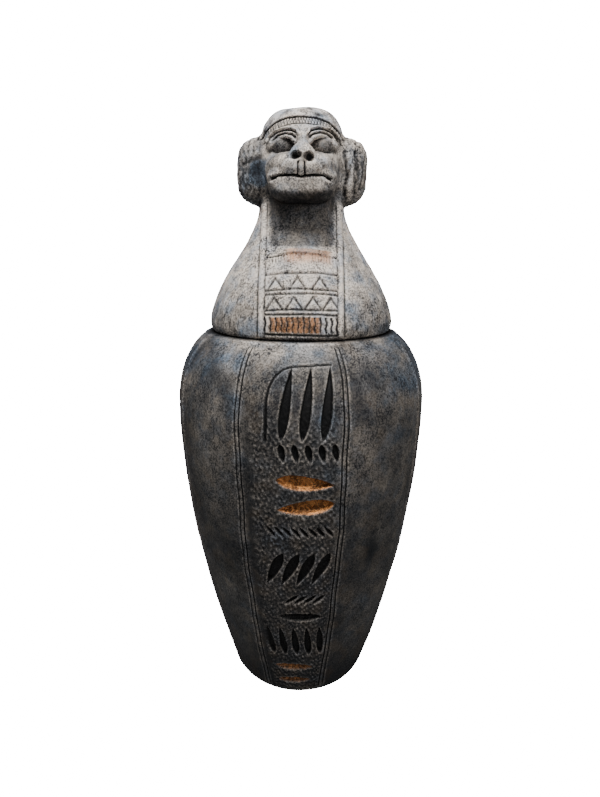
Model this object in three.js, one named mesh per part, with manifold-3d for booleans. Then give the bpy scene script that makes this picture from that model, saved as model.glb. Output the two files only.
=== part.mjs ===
// Canopic jar with a baboon-headed lid, modelled in millimetres with +Z up.
// The origin is the centre of the underside, and the face looks along -Y.
import * as THREE from 'three';
import { mergeVertices } from 'three/addons/utils/BufferGeometryUtils.js';
import Module from 'manifold-3d';

const wasm = await Module();
wasm.setup();

const DEGREE = Math.PI / 180;
const BEYOND = 60;

// Jar: outer form, wall and mouth.
const JAR_HEIGHT = 249;
const BELLY_RADIUS = 81.7;
const BELLY_HEIGHT = 202;
const TAPER_DROP = 37.5;
const TAPER_POWER = 1.84;
const SHOULDER_DROP = 27.6;
const SHOULDER_REACH = 48;
const FOOT_ROUND = 10;
const RIM_RADIUS = 59;
const WALL = 9;
const FLOOR_THICKNESS = 14;
const FLOOR_CORNER = 5;
const MOUTH_RADIUS = 42;
const RIM_THICKNESS = 10;
const RIM_SLOPE = [14, 4];
const RIM_CHAMFER = 0.9;
const JAR_LEVELS = [3, 10, 34, 66, 102, 140, 174, 202, 219, 233, 243];
const HOLLOW_LEVELS = [24, 66, 115, 160, 202, 223];
const HOLLOW_SIDES = 30;

// Jar: scribed double lines, as azimuths from the middle of the front panel.
const PANEL_TURN = -4;
const LINE_AZIMUTHS = [-62, -22.4, 22.4, 69, 112, 157, 202, 250];
const LINE_HALF_GAP = 1;
const LINE_HALF_WIDTH = 1.7;
const LINE_DEPTH = 0.9;
const LINE_TOP = 238;
const PLAIN_COLUMNS = 3;

// Jar: the arched border line over the strokes, as azimuths and heights, and its half width.
const ARCH_LINE = [
  [-10, 203], [-10, 219], [-9.2, 226], [-7.1, 231.7], [-3.8, 235.4], [0, 237], [17.5, 238],
];
const ARCH_RADIUS = 1;

// Jar: rows of plain strokes down the front panel. Each row runs between two azimuths.
const STROKE_DEPTH = 1.6;
const STROKE_ROWS = [
  { from: -2, to: 15, count: 3, height: 217, length: 44, width: 6, lean: -7, taper: -0.45 },
  { from: -3.5, to: 18.5, count: 5, height: 188.5, length: 12, width: 4.2, lean: 12, taper: 0.3 },
  { from: 6, to: 6, count: 1, height: 170.5, length: 34, width: 9.5, lean: 84, taper: 0.3, depth: 2.6 },
  { from: 6.5, to: 6.5, count: 1, height: 155, length: 34, width: 9.5, lean: 97, taper: -0.3, depth: 2.6 },
  { from: -9, to: 17, count: 8, height: 138.5, length: 9, width: 2.4, lean: 38 },
  { from: -8, to: 14, count: 4, height: 112, length: 26, width: 6.5, lean: -24, taper: 0.4 },
  { from: 0, to: 14, count: 4, height: 89, length: 11, width: 3, lean: -50 },
  { from: 4.5, to: 4.5, count: 1, height: 74.5, length: 28, width: 7, lean: 90, depth: 2.2 },
  { from: -14, to: 17, count: 5, height: 53, length: 26, width: 4.8, lean: 6, taper: -0.3 },
  { from: 0, to: 0, count: 1, height: 29, length: 25, width: 6, lean: 88, depth: 2.2 },
  { from: 0, to: 0, count: 1, height: 16, length: 22, width: 5, lean: 92, depth: 2 },
];

// Lid: cape, spigot and neck, as radius and height pairs.
const SPIGOT_RADIUS = 40.5;
const SPIGOT_DEPTH = 8;
const CAPE_PROFILE = [
  [57.6, 249], [58.8, 250.2], [59.5, 255], [58.6, 261], [55.1, 271], [50.2, 281],
  [43.9, 291], [37.2, 301], [31.2, 311.5], [27.4, 321], [26, 334],
];
const CAPE_TOP = 348;
const CAPE_SIDES = 36;

// Lid: head masses, each with its middle, its half sizes and how square its front outline is.
const HEAD = { middle: [0, -1, 360], half: [25.3, 28.6, 22.7], power: 2.4 };
const CAP_GROWTH = 1.1;
const BAND_GROWTH = 0.4;
const BAND_TILT = 25;
const BAND_TOP = 3.75;
const BAND_HEIGHT = 4.6;
const BAND_EDGE = 0.3;
const ZIGZAG_PITCH = 7;
const ZIGZAG_STROKES = 10;
const ZIGZAG_MARGIN = 0.8;
const ZIGZAG_RADIUS = 0.5;
const MANE = { middle: [0, 4, 347.8], half: [41, 24, 22], power: 4 };
const FACE = { middle: [0, -8, 351.5], half: [22.2, 22, 18.5], power: 2.7 };
const MUZZLE = { middle: [0, -25, 345.8], half: [18.6, 25, 9.4], power: 2.6, full: 2.4 };
const JAW = { middle: [0, -22, 338.2], half: [18, 25.4, 9], power: 2.4, full: 2.7 };
const NOSE = { middle: [0.2, -43, 351.3], half: [7.2, 8.8, 4.6] };
const CHEEKS = [-1, 1].map((side) => ({ middle: [side * 12.5, -20.5, 347], half: [9.5, 14.5, 8.8] }));
const BRIDGE = { from: [0.2, -26, 367], to: [0.3, -43.5, 353], radius: 2.4, endRadius: 5.4 };
const EYE_SIDE = 11.8;
const EYE_HEIGHT = 359.7;
const SOCKETS = [-1, 1].map((side) => ({
  middle: [side * EYE_SIDE, -29, EYE_HEIGHT + 0.2], half: [9.6, 8.6, 6.4],
}));
const EYEBALLS = [-1, 1].map((side) => ({
  middle: [side * EYE_SIDE, -17.8, EYE_HEIGHT - 0.2], half: [9.4, 7.8, 6.6],
}));
// Lid and brow over each eye: reach beside the eye's middle, rise over its corner and radius.
const ARCHES = [{ reach: 9, rise: 6.4, radius: 1 }, { reach: 11, rise: 9, radius: 1.1 }];
const ARCH_TURNS = [12, 45, 80, 115, 145, 175];
const ARCH_DROP = 4;
const NOSTRILS = [
  { middle: [-4, -51.5, 351.1], half: [3.3, 4.6, 2.2] }, { middle: [4.2, -51.5, 350.3], half: [3.1, 4.6, 2.3] },
];
const LIP_FURROWS = [-2.4, 1.6];
const LIP_FURROW_TOP = 347.8;
const LIP_LINE = [
  [-17.2, 338.8], [-13.5, 340.2], [-6.5, 340.3], [-0.5, 339.5], [6.5, 340.3], [13.5, 340.4], [16.8, 338.6],
];
const MOUTH_CORNERS = [-1, 1].map((side) => ({ middle: [side * 16.8, -31, 338.8], half: [2.4, 5, 1.5] }));
const EAR_HOLLOW = { middle: [-29.5, -16.5, 345.6], half: [7.4, 8, 10.2] };
const MANE_FURROWS = [28.5, 33, 36.5];
const FURROW_SPAN = [333, 345, 358];
const FURROW_SLANT = 0.15;
const THROAT_CHANNELS = [-1, 1].map((side) => ({
  from: [side * 23.5, -14, 334], to: [side * 16.8, -36, 300.5], radius: 4.3, endRadius: 3,
}));

// Lid: bib between the lappets, with the heights of its lines.
const BIB_HALF_WIDTH = 23.4;
const BIB_BOTTOM = 250.4;
const BIB_TOP = 301;
const BIB_LINES = [252.6, 264.5, 267, 276, 278.5, 287.5, 298];
const BIB_ARCH = 3.2;
const BIB_PROUD = 0.9;
const BIB_BACKING = 4;
const BIB_RIBS = 14;
const BIB_COLUMNS = 5;
const LINE_NOTCH = 0.7;
const RIB_SPAN = [254.4, 262];
const RIB_MARGIN = 2.5;
const RIB_RADIUS = 1.05;
const TRIANGLE_HALF_WIDTH = 4.4;
const TRIANGLE_ROWS = [
  { low: 266.8, high: 274, apexes: [-15.5, -4, 7, 17.5] }, { low: 278, high: 285, apexes: [-15, -2, 11] },
];
const LAPPET_RADIUS = 1.6;
const LAPPET_LEVELS = [321, 311, 301, 291, 271, 255];

const finish = {
  jar: new THREE.MeshStandardMaterial({ color: 0x3b3d42, roughness: 0.72, metalness: 0.05 }),
  lid: new THREE.MeshStandardMaterial({ color: 0x4a4a4c, roughness: 0.7, metalness: 0.05 }),
};

// A closed geometry as a solid whose faces point out.
function solidOf(geometry) {
  const bare = geometry.clone();
  bare.deleteAttribute('normal');
  bare.deleteAttribute('uv');
  const merged = mergeVertices(bare, 1e-4);
  const points = merged.getAttribute('position').array;
  const corners = [];
  let volume = 0;
  for (let i = 0; i < merged.index.count; i += 3) {
    const [a, b, c] = [0, 1, 2].map((k) => merged.index.getX(i + k));
    if (a === b || b === c || c === a) continue;
    const [p, q, r] = [a, b, c].map((k) => new THREE.Vector3().fromArray(points, 3 * k));
    volume += p.dot(q.cross(r));
    corners.push([a, b, c]);
  }
  if (volume < 0) corners.forEach((corner) => corner.reverse());
  const mesh = new wasm.Mesh({
    numProp: 3,
    vertProperties: new Float32Array(points),
    triVerts: new Uint32Array(corners.flat()),
  });
  return new wasm.Manifold(mesh);
}

// A solid as a named mesh.
function meshOf(name, solid, material) {
  const data = solid.getMesh();
  const geometry = new THREE.BufferGeometry();
  geometry.setAttribute('position', new THREE.BufferAttribute(new Float32Array(data.vertProperties), 3));
  geometry.setIndex(new THREE.BufferAttribute(new Uint32Array(data.triVerts), 1));
  geometry.computeVertexNormals();
  const mesh = new THREE.Mesh(geometry, material);
  mesh.name = name;
  return mesh;
}

// A solid of revolution about the upright axis from radius and height pairs.
function turned(profile, segments) {
  const points = profile.map(([radius, height]) => new THREE.Vector2(radius, height));
  return new THREE.LatheGeometry(points, segments).rotateX(Math.PI / 2);
}

// A rounded mass. A power over 2 squares its front outline, and full over 2 flattens its front.
function roundedMass({ middle, half, power = 2, full = 2 }, around = 12, up = 8) {
  const geometry = new THREE.SphereGeometry(1, around, up).rotateX(Math.PI / 2);
  const place = geometry.getAttribute('position');
  for (let i = 0; i < place.count; i += 1) {
    const [x, y, z] = [place.getX(i), place.getY(i), place.getZ(i)];
    const front = (Math.abs(x) ** power + Math.abs(z) ** power) ** (full / power);
    const grow = 1 / (front + Math.abs(y) ** full) ** (1 / full);
    place.setXYZ(
      i, middle[0] + x * grow * half[0], middle[1] + y * grow * half[1],
      middle[2] + z * grow * half[2],
    );
  }
  return solidOf(geometry);
}

// A round cord through a row of points, with closed ends, used as a ridge or as a cutter.
function cordThrough(points, radius, steps = 6, sides = 5) {
  const path = new THREE.CatmullRomCurve3(points.map((point) => new THREE.Vector3(...point)));
  const section = new THREE.Shape(Array.from({ length: sides }, (unused, k) => {
    const turn = (k + 0.5) * 2 * Math.PI / sides;
    return new THREE.Vector2(radius * Math.cos(turn), radius * Math.sin(turn));
  }));
  return solidOf(new THREE.ExtrudeGeometry(section, { steps, extrudePath: path, curveSegments: 1 }));
}

// A straight tapering bar from one point to another, used as a ridge or as a cutter.
function bar({ from, to, radius, endRadius = radius }, sides = 3) {
  const [start, end] = [from, to].map((point) => new THREE.Vector3(...point));
  const way = end.clone().sub(start);
  const geometry = new THREE.CylinderGeometry(endRadius, radius, way.length(), sides);
  const lay = new THREE.Quaternion().setFromUnitVectors(new THREE.Vector3(0, 1, 0), way.normalize());
  geometry.applyQuaternion(lay).translate(...start.add(end).divideScalar(2).toArray());
  return solidOf(geometry);
}

function joinAll(solids) {
  return solids.reduce((sum, solid) => sum.add(solid));
}

function cutAll(body, cutters) {
  return cutters.reduce((rest, cutter) => rest.subtract(cutter), body);
}

// Height z on the outside of the jar gives its radius there.
function jarRadius(height) {
  if (height > BELLY_HEIGHT) {
    const rise = Math.min(1, (height - BELLY_HEIGHT) / SHOULDER_REACH);
    return BELLY_RADIUS - SHOULDER_DROP * (1 - Math.sqrt(1 - rise * rise));
  }
  const taper = TAPER_DROP * ((BELLY_HEIGHT - height) / BELLY_HEIGHT) ** TAPER_POWER;
  const low = Math.max(0, FOOT_ROUND - height);
  const tuck = 0.5 * (FOOT_ROUND - Math.sqrt(FOOT_ROUND ** 2 - low ** 2));
  return BELLY_RADIUS - taper - tuck;
}

// Height z on the outside of the cape gives its radius there.
function capeRadius(height) {
  for (let i = 1; i < CAPE_PROFILE.length; i += 1) {
    const [[r0, z0], [r1, z1]] = [CAPE_PROFILE[i - 1], CAPE_PROFILE[i]];
    if (height <= z1) return r0 + (r1 - r0) * (height - z0) / (z1 - z0);
  }
  return CAPE_PROFILE.at(-1)[0];
}

// A point on the jar's outside, sunk by depth, from an azimuth in the jar's own turn.
function onJar(azimuth, height, depth = 0) {
  const radius = jarRadius(height) - depth;
  const turn = (azimuth + PANEL_TURN) * DEGREE;
  return [radius * Math.sin(turn), -radius * Math.cos(turn), height];
}

// A point on the front of the cape, sunk by depth, from its distance beside the middle.
function onCape(side, height, depth = 0) {
  const radius = capeRadius(height) - depth;
  return [side, -Math.sqrt(radius ** 2 - side ** 2), height];
}

// A point on the front of a rounded mass, sunk by depth, from its side place and height.
function onMass({ middle, half, power = 2, full = 2 }, side, height, depth = 0) {
  const [across, up] = [(side - middle[0]) / half[0], (height - middle[2]) / half[2]];
  const front = (Math.abs(across) ** power + Math.abs(up) ** power) ** (full / power);
  return [side, middle[1] - half[1] * Math.max(0.02, 1 - front) ** (1 / full) + depth, height];
}

// Azimuths of the jar's columns, with a notch of five columns at each scribed double line.
function jarColumns() {
  const notch = [-LINE_HALF_WIDTH, -LINE_HALF_GAP, 0, LINE_HALF_GAP, LINE_HALF_WIDTH];
  const columns = [];
  LINE_AZIMUTHS.forEach((azimuth, index) => {
    notch.forEach((offset, k) => columns.push({ azimuth: azimuth + offset, sunk: k % 2 === 1 }));
    const next = LINE_AZIMUTHS[index + 1] ?? LINE_AZIMUTHS[0] + 360;
    const start = azimuth + LINE_HALF_WIDTH;
    const span = next - LINE_HALF_WIDTH - start;
    for (let k = 1; k <= PLAIN_COLUMNS; k += 1) {
      columns.push({ azimuth: start + span * k / (PLAIN_COLUMNS + 1), sunk: false });
    }
  });
  return columns;
}

// The jar's outside with its scribed lines, still solid.
function jarOutside() {
  const profile = [
    [0, 0], [jarRadius(0), 0], ...JAR_LEVELS.map((height) => [jarRadius(height), height]),
    [RIM_RADIUS + RIM_CHAMFER, JAR_HEIGHT - RIM_CHAMFER], [RIM_RADIUS, JAR_HEIGHT], [0, JAR_HEIGHT],
  ];
  const columns = jarColumns();
  const geometry = turned(profile, columns.length);
  const place = geometry.getAttribute('position');
  for (let i = 0; i < place.count; i += 1) {
    const { azimuth, sunk } = columns[Math.floor(i / profile.length) % columns.length];
    const height = place.getZ(i);
    const lined = sunk && height > 0 && height < LINE_TOP;
    const radius = profile[i % profile.length][0] - (lined ? LINE_DEPTH : 0);
    const turn = (azimuth + PANEL_TURN) * DEGREE;
    place.setXY(i, radius * Math.sin(turn), -radius * Math.cos(turn));
  }
  return solidOf(geometry);
}

// The hollow of the jar, from its floor up through the mouth.
function jarHollow() {
  const underRim = JAR_HEIGHT - RIM_THICKNESS;
  const [slopeReach, slopeDrop] = RIM_SLOPE;
  const profile = [
    [0, FLOOR_THICKNESS], [jarRadius(FLOOR_THICKNESS) - WALL - FLOOR_CORNER, FLOOR_THICKNESS],
    ...HOLLOW_LEVELS.map((height) => [jarRadius(height) - WALL, height]),
    [MOUTH_RADIUS + slopeReach, underRim - slopeDrop], [MOUTH_RADIUS, underRim],
    [MOUTH_RADIUS, JAR_HEIGHT + BEYOND], [0, JAR_HEIGHT + BEYOND],
  ];
  return solidOf(turned(profile, HOLLOW_SIDES));
}

// One chisel stroke: a lens along its length, lying on the jar's outside.
function stroke({ azimuth, height, length, width, lean, depth = STROKE_DEPTH, taper = 0 }) {
  const geometry = new THREE.SphereGeometry(1, 4, 4);
  const place = geometry.getAttribute('position');
  for (let i = 0; i < place.count; i += 1) {
    const along = place.getY(i);
    const swell = (1 + taper * along) * width / 2;
    place.setXYZ(i, place.getX(i) * swell, along * length / 2, place.getZ(i) * depth);
  }
  const below = onJar(azimuth, height - 2);
  const above = onJar(azimuth, height + 2);
  const up = new THREE.Vector3(...above).sub(new THREE.Vector3(...below)).normalize();
  const turn = (azimuth + PANEL_TURN) * DEGREE;
  const across = new THREE.Vector3(Math.cos(turn), Math.sin(turn), 0);
  const out = new THREE.Vector3().crossVectors(across, up);
  geometry.rotateZ(lean * DEGREE);
  geometry.applyMatrix4(new THREE.Matrix4().makeBasis(across, up, out));
  geometry.translate(...onJar(azimuth, height));
  return solidOf(geometry);
}

// A row of like strokes spread evenly between two azimuths.
function strokeRow({ from, to, count, ...shape }) {
  const gap = count > 1 ? (to - from) / (count - 1) : 0;
  return Array.from({ length: count }, (unused, k) => stroke({ ...shape, azimuth: from + gap * k }));
}

function jarBody() {
  const hollowed = jarOutside().subtract(jarHollow());
  const arch = cordThrough(ARCH_LINE.map(([azimuth, height]) => onJar(azimuth, height)), ARCH_RADIUS, 8, 4);
  return cutAll(hollowed, [arch, ...STROKE_ROWS.flatMap(strokeRow)]);
}

// Radius of the skull at a level above its middle, measured along its tilted axis.
function skullRadius(level) {
  return HEAD.half[0] * Math.max(0, 1 - (Math.abs(level) / HEAD.half[2]) ** HEAD.power) ** (1 / HEAD.power);
}

// The skull with its close cap and the headband under the cap's edge, turned and then tilted.
function skullAndCap() {
  const bandFoot = BAND_TOP - BAND_HEIGHT;
  const capTop = HEAD.half[2] + CAP_GROWTH;
  const skull = [-21.8, -18, -10].map((level) => [skullRadius(level), level]);
  const cap = [8, 14, 19, 22].map((level) => [skullRadius(level - CAP_GROWTH) + CAP_GROWTH, level]);
  const profile = [
    [0, -HEAD.half[2]], ...skull, [skullRadius(bandFoot), bandFoot],
    [skullRadius(bandFoot) + BAND_GROWTH, bandFoot + BAND_EDGE],
    [skullRadius(BAND_TOP) + BAND_GROWTH, BAND_TOP], [skullRadius(BAND_TOP) - BAND_EDGE, BAND_TOP + BAND_EDGE],
    ...cap, [0, capTop],
  ];
  const geometry = turned(profile, 24).scale(1, HEAD.half[1] / HEAD.half[0], 1);
  return solidOf(geometry.rotateX(-BAND_TILT * DEGREE).translate(...HEAD.middle));
}

// A point on the headband from its azimuth and its level along the tilted axis.
function onBand(azimuth, level) {
  const radius = skullRadius(level) + BAND_GROWTH;
  const turn = azimuth * DEGREE;
  const stretch = HEAD.half[1] / HEAD.half[0];
  const point = new THREE.Vector3(radius * Math.sin(turn), -radius * stretch * Math.cos(turn), level);
  point.applyAxisAngle(new THREE.Vector3(1, 0, 0), -BAND_TILT * DEGREE);
  return point.add(new THREE.Vector3(...HEAD.middle)).toArray();
}

// Slanting cuts that zigzag along the front of the headband.
function bandZigzag() {
  return Array.from({ length: ZIGZAG_STROKES }, (unused, k) => {
    const azimuth = (k + 0.5 - ZIGZAG_STROKES / 2) * ZIGZAG_PITCH;
    const lean = (k % 2 ? 1 : -1) * ZIGZAG_PITCH / 3;
    const [low, high] = [BAND_TOP - BAND_HEIGHT + ZIGZAG_MARGIN, BAND_TOP - ZIGZAG_MARGIN];
    return bar({ from: onBand(azimuth - lean, low), to: onBand(azimuth + lean, high), radius: ZIGZAG_RADIUS });
  });
}

// Cuts in the lobes of the mane: an ear's hollow on one side, furrows of hair on the other.
function maneCuts() {
  const furrows = MANE_FURROWS.map((side) => {
    const front = MANE.middle[1] - MANE.half[1] * Math.sqrt(1 - (side / MANE.half[0]) ** 2);
    const slanted = (height) => side - FURROW_SLANT * (height - FURROW_SPAN[1]);
    return cordThrough(FURROW_SPAN.map((height) => [slanted(height), front, height]), 1, 2, 3);
  });
  return [roundedMass(EAR_HOLLOW), ...furrows];
}

// Muzzle, jaw, cheeks and nose on the block of the face.
function face() {
  return joinAll([
    roundedMass(FACE, 14, 8), roundedMass(MUZZLE, 16, 8), roundedMass(JAW, 16, 8),
    ...CHEEKS.map((cheek) => roundedMass(cheek, 10, 6)), roundedMass(NOSE, 10, 6), bar(BRIDGE, 6),
  ]);
}

// The arch of a lid or brow over one eye, which drops at its outer end.
function eyeArch(side, { reach, rise, radius }) {
  const points = ARCH_TURNS.map((turn) => {
    const across = side * (EYE_SIDE - reach * Math.cos(turn * DEGREE));
    const drop = Math.max(0, turn - 125) * DEGREE * ARCH_DROP;
    return onMass(HEAD, across, EYE_HEIGHT - 1.6 + rise * Math.sin(turn * DEGREE) - drop, 0.2);
  });
  return cordThrough(points, radius, 6, 4);
}

// Eyes with the arched lids and brows round them.
function eyes() {
  const arches = [-1, 1].flatMap((side) => ARCHES.map((arch) => eyeArch(side, arch)));
  return [...EYEBALLS.map((ball) => roundedMass(ball)), ...arches];
}

// Nostrils, the furrows of the lip and the mouth line with its deep corners.
function faceCuts() {
  const furrows = LIP_FURROWS.map((side) => {
    const [from, to] = [onMass(MUZZLE, side, LIP_FURROW_TOP), onMass(JAW, side, LIP_LINE[3][1])];
    return bar({ from, to, radius: 0.7, endRadius: 1 }, 4);
  });
  const lip = cordThrough(LIP_LINE.map(([side, height]) => onMass(JAW, side, height, 0.3)), 1.1, 8, 4);
  return [
    ...NOSTRILS.map((hole) => roundedMass(hole, 8, 6)), ...furrows, lip,
    ...MOUTH_CORNERS.map((corner) => roundedMass(corner, 8, 4)),
  ];
}

// The bib: a thin shield on the front of the cape with lines notched across it.
function bibShield() {
  const notch = [-LINE_NOTCH, 0, LINE_NOTCH];
  const heights = [
    [BIB_BOTTOM, 1], ...BIB_LINES.flatMap((height) => notch.map((step) => [height + step, step])),
    [BIB_TOP, 1],
  ];
  const geometry = new THREE.BoxGeometry(2, 2, 2, BIB_COLUMNS, heights.length - 1, 1);
  const place = geometry.getAttribute('position');
  for (let i = 0; i < place.count; i += 1) {
    const side = place.getX(i);
    const row = Math.round((place.getY(i) + 1) / 2 * (heights.length - 1));
    const [height, step] = heights[row];
    const arch = BIB_ARCH * (height - BIB_BOTTOM) / (BIB_TOP - BIB_BOTTOM);
    const front = step === 0 ? LINE_NOTCH - BIB_PROUD : -BIB_PROUD;
    const depth = place.getZ(i) > 0 ? front : BIB_BACKING;
    place.setXYZ(i, ...onCape(side * BIB_HALF_WIDTH, height - arch * side * side, depth));
  }
  return solidOf(geometry);
}

// Slanting cuts that meet in points along the bib.
function bibTriangles({ low, high, apexes }) {
  return apexes.flatMap((apex) => [-1, 1].map((lean) => bar({
    from: onCape(apex, high, -BIB_PROUD), to: onCape(apex + lean * TRIANGLE_HALF_WIDTH, low, -BIB_PROUD),
    radius: 0.7,
  })));
}

// Carving of the bib: two rows of triangles and the ribbed row at its foot.
function bibCuts() {
  const ribs = Array.from({ length: BIB_RIBS }, (unused, k) => {
    const side = (2 * k / (BIB_RIBS - 1) - 1) * (BIB_HALF_WIDTH - RIB_MARGIN);
    const [from, to] = RIB_SPAN.map((height) => onCape(side, height, -BIB_PROUD));
    return bar({ from, to, radius: RIB_RADIUS });
  });
  return [...ribs, ...TRIANGLE_ROWS.flatMap(bibTriangles)];
}

// Half-round edges of the two lappets, from the mane down to the rim.
function lappetEdges() {
  return [-1, 1].map((side) => cordThrough(
    LAPPET_LEVELS.map((height) => onCape(side * BIB_HALF_WIDTH, height, 0.2)), LAPPET_RADIUS, 5, 4,
  ));
}

function baboonLid() {
  const cape = solidOf(turned([
    [0, JAR_HEIGHT - SPIGOT_DEPTH], [SPIGOT_RADIUS - 1, JAR_HEIGHT - SPIGOT_DEPTH],
    [SPIGOT_RADIUS, JAR_HEIGHT - SPIGOT_DEPTH + 1], [SPIGOT_RADIUS, JAR_HEIGHT],
    ...CAPE_PROFILE, [0, CAPE_TOP],
  ], CAPE_SIDES));
  const channels = THROAT_CHANNELS.map((channel) => bar(channel, 6));
  const carvedCape = cutAll(cape.add(bibShield()), [...channels, ...bibCuts()]);
  const carvedMane = cutAll(roundedMass(MANE, 16, 10), maneCuts());
  const sockets = SOCKETS.map((socket) => roundedMass(socket));
  const head = cutAll(joinAll([skullAndCap(), face()]), [...sockets, ...bandZigzag()]);
  const whole = joinAll([carvedCape, ...lappetEdges(), carvedMane, head, ...eyes()]);
  return cutAll(whole, faceCuts());
}

const group = new THREE.Group();
group.add(meshOf('jar_body', jarBody(), finish.jar));
group.add(meshOf('baboon_head_lid', baboonLid(), finish.lid));

export default group;
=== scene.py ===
"""Looks of the canopic jar and its baboon-headed lid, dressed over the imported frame.

Lengths are worked in millimetres and turned into metres as each piece is made.
"""
import logging
import math
from dataclasses import dataclass
from enum import Enum

import bmesh
import bpy
import numpy as np
from mathutils import Matrix, Vector


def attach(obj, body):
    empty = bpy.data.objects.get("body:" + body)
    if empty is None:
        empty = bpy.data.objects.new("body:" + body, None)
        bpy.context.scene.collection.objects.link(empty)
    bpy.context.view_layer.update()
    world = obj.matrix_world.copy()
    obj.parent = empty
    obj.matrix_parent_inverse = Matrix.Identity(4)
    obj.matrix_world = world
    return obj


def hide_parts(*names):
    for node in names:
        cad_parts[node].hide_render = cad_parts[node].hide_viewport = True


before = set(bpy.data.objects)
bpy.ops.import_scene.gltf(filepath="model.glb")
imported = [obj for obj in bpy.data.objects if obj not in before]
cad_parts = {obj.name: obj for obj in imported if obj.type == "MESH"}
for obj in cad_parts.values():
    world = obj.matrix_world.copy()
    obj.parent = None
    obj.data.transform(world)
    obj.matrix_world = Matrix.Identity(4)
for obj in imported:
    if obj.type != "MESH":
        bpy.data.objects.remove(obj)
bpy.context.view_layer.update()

LOG = logging.getLogger("canopic_jar")
MM = 0.001
Points = np.ndarray
Path = tuple[tuple[float, float], ...]


class Body(Enum):
    """The bodies that pieces ride on."""

    ROOT = "root"


class Part(Enum):
    """Each CAD node with the material slot of its finish."""

    JAR = ("jar_body", "jar_stone")
    LID = ("baboon_head_lid", "lid_stone")

    @property
    def node(self) -> str:
        """The node's name."""
        return self.value[0]

    @property
    def slot(self) -> str:
        """The material slot's name."""
        return self.value[1]


def ease(low: float, high: float, value: Points) -> Points:
    """Rises smoothly from 0 to 1.

    Args:
        low: Where the rise starts.
        high: Where the rise ends; it may lie below low.
        value: Places along the rise.

    Returns:
        The eased share at each place.
    """
    share = np.clip((value - low) / (high - low), 0.0, 1.0)
    return share * share * (3.0 - 2.0 * share)


def join_soft(first: Points, second: Points, blend: float) -> Points:
    """Joins two signed distances with a fillet.

    Args:
        first: Distances from one mass.
        second: Distances from the other mass.
        blend: Reach of the fillet.

    Returns:
        Distances from the joined mass.
    """
    share = np.clip(0.5 + 0.5 * (second - first) / blend, 0.0, 1.0)
    return second * (1 - share) + first * share - blend * share * (1 - share)


def cut_soft(body: Points, cutter: Points, blend: float) -> Points:
    """Cuts one signed distance out of another.

    Args:
        body: Distances from what is cut.
        cutter: Distances from the cutter.
        blend: Reach of the rounding along the cut's edge.

    Returns:
        Distances from what is left.
    """
    return -join_soft(-body, cutter, blend)


def path_distance(across: Points, up: Points, path: Path) -> tuple[Points, Points]:
    """Measures how far points lie from a bent line.

    Args:
        across: First coordinate of each point.
        up: Second coordinate of each point.
        path: The line's corners.

    Returns:
        The distance of each point and how far along the line its nearest place is, from 0 to 1.
    """
    corners = np.array(path, float)
    spans = np.hypot(*(corners[1:] - corners[:-1]).T)
    total, run = spans.sum(), 0.0
    best = np.full(across.shape, 1e9)
    along = np.zeros(across.shape)
    for start, end, span in zip(corners[:-1], corners[1:], spans):
        way = (end - start) / max(span, 1e-9)
        reach = np.clip((across - start[0]) * way[0] + (up - start[1]) * way[1], 0.0, span)
        gap = np.hypot(across - start[0] - reach * way[0], up - start[1] - reach * way[1])
        nearer = gap < best
        best = np.where(nearer, gap, best)
        along = np.where(nearer, (run + reach) / total, along)
        run += span
    return best, along


@dataclass(frozen=True)
class Unevenness:
    """Seeded gentle waves, as hand casting and hand smoothing leave."""

    seed: int
    length: float
    waves: int = 14

    def at(self, points: Points) -> Points:
        """Gives the height of the waves.

        Args:
            points: Places, one row each.

        Returns:
            Heights, mostly between -1 and 1.
        """
        draw = np.random.default_rng(self.seed)
        ways = draw.normal(size=(self.waves, 3))
        ways *= (draw.uniform(0.6, 1.5, (self.waves, 1)) * 2 * math.pi / self.length
                 / np.linalg.norm(ways, axis=1, keepdims=True))
        starts = draw.uniform(0, 2 * math.pi, self.waves)
        return np.sin(points @ ways.T + starts).sum(axis=1) / math.sqrt(self.waves)


class Sheet:
    """Vertex positions and edges of a mesh as arrays, for moving its surface in code."""

    def __init__(self, mesh: bpy.types.Mesh) -> None:
        """Takes the arrays from a mesh in millimetres."""
        self.mesh = mesh
        self.points = np.zeros(len(mesh.vertices) * 3)
        mesh.vertices.foreach_get("co", self.points)
        self.points = self.points.reshape(-1, 3)
        ends = np.zeros(len(mesh.edges) * 2, int)
        mesh.edges.foreach_get("vertices", ends)
        self.ends = ends.reshape(-1, 2)
        self.degree = np.bincount(self.ends.ravel(), minlength=len(self.points)).clip(1)

    def write(self) -> None:
        """Puts the positions back in the mesh."""
        self.mesh.vertices.foreach_set("co", self.points.ravel())
        self.mesh.update()

    def normals(self) -> Points:
        """The vertex normals of the positions as they are now."""
        self.write()
        values = np.zeros(len(self.points) * 3, np.float32)
        self.mesh.vertex_normals.foreach_get("vector", values)
        return values.reshape(-1, 3).astype(float)

    def averaged(self, values: Points, times: int) -> Points:
        """Spreads values over neighbours.

        Args:
            values: One row or number for each vertex.
            times: How often each vertex takes the mean of its neighbours and itself.

        Returns:
            The spread values.
        """
        first, second = self.ends.T
        flat = values.reshape(len(values), -1).copy()
        for _ in range(times):
            for column in flat.T:
                total = (np.bincount(first, column[second], len(column))
                         + np.bincount(second, column[first], len(column)))
                column[:] = 0.5 * column + 0.5 * total / self.degree
        return flat.reshape(values.shape)

    def hollowness(self, times: int) -> Points:
        """Finds hollows and edges.

        Args:
            times: How often positions are spread, which sets the size of what is found.

        Returns:
            Millimetres below the surroundings at each vertex, negative on edges.
        """
        normals = self.normals()
        return ((self.averaged(self.points, times) - self.points) * normals).sum(axis=1)

    def mark(self, name: str, values: Points) -> None:
        """Stores one number for each vertex under a name that the finish reads."""
        layer = self.mesh.attributes.new(name, "FLOAT", "POINT")
        layer.data.foreach_set("value", values.astype(np.float32))


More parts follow.
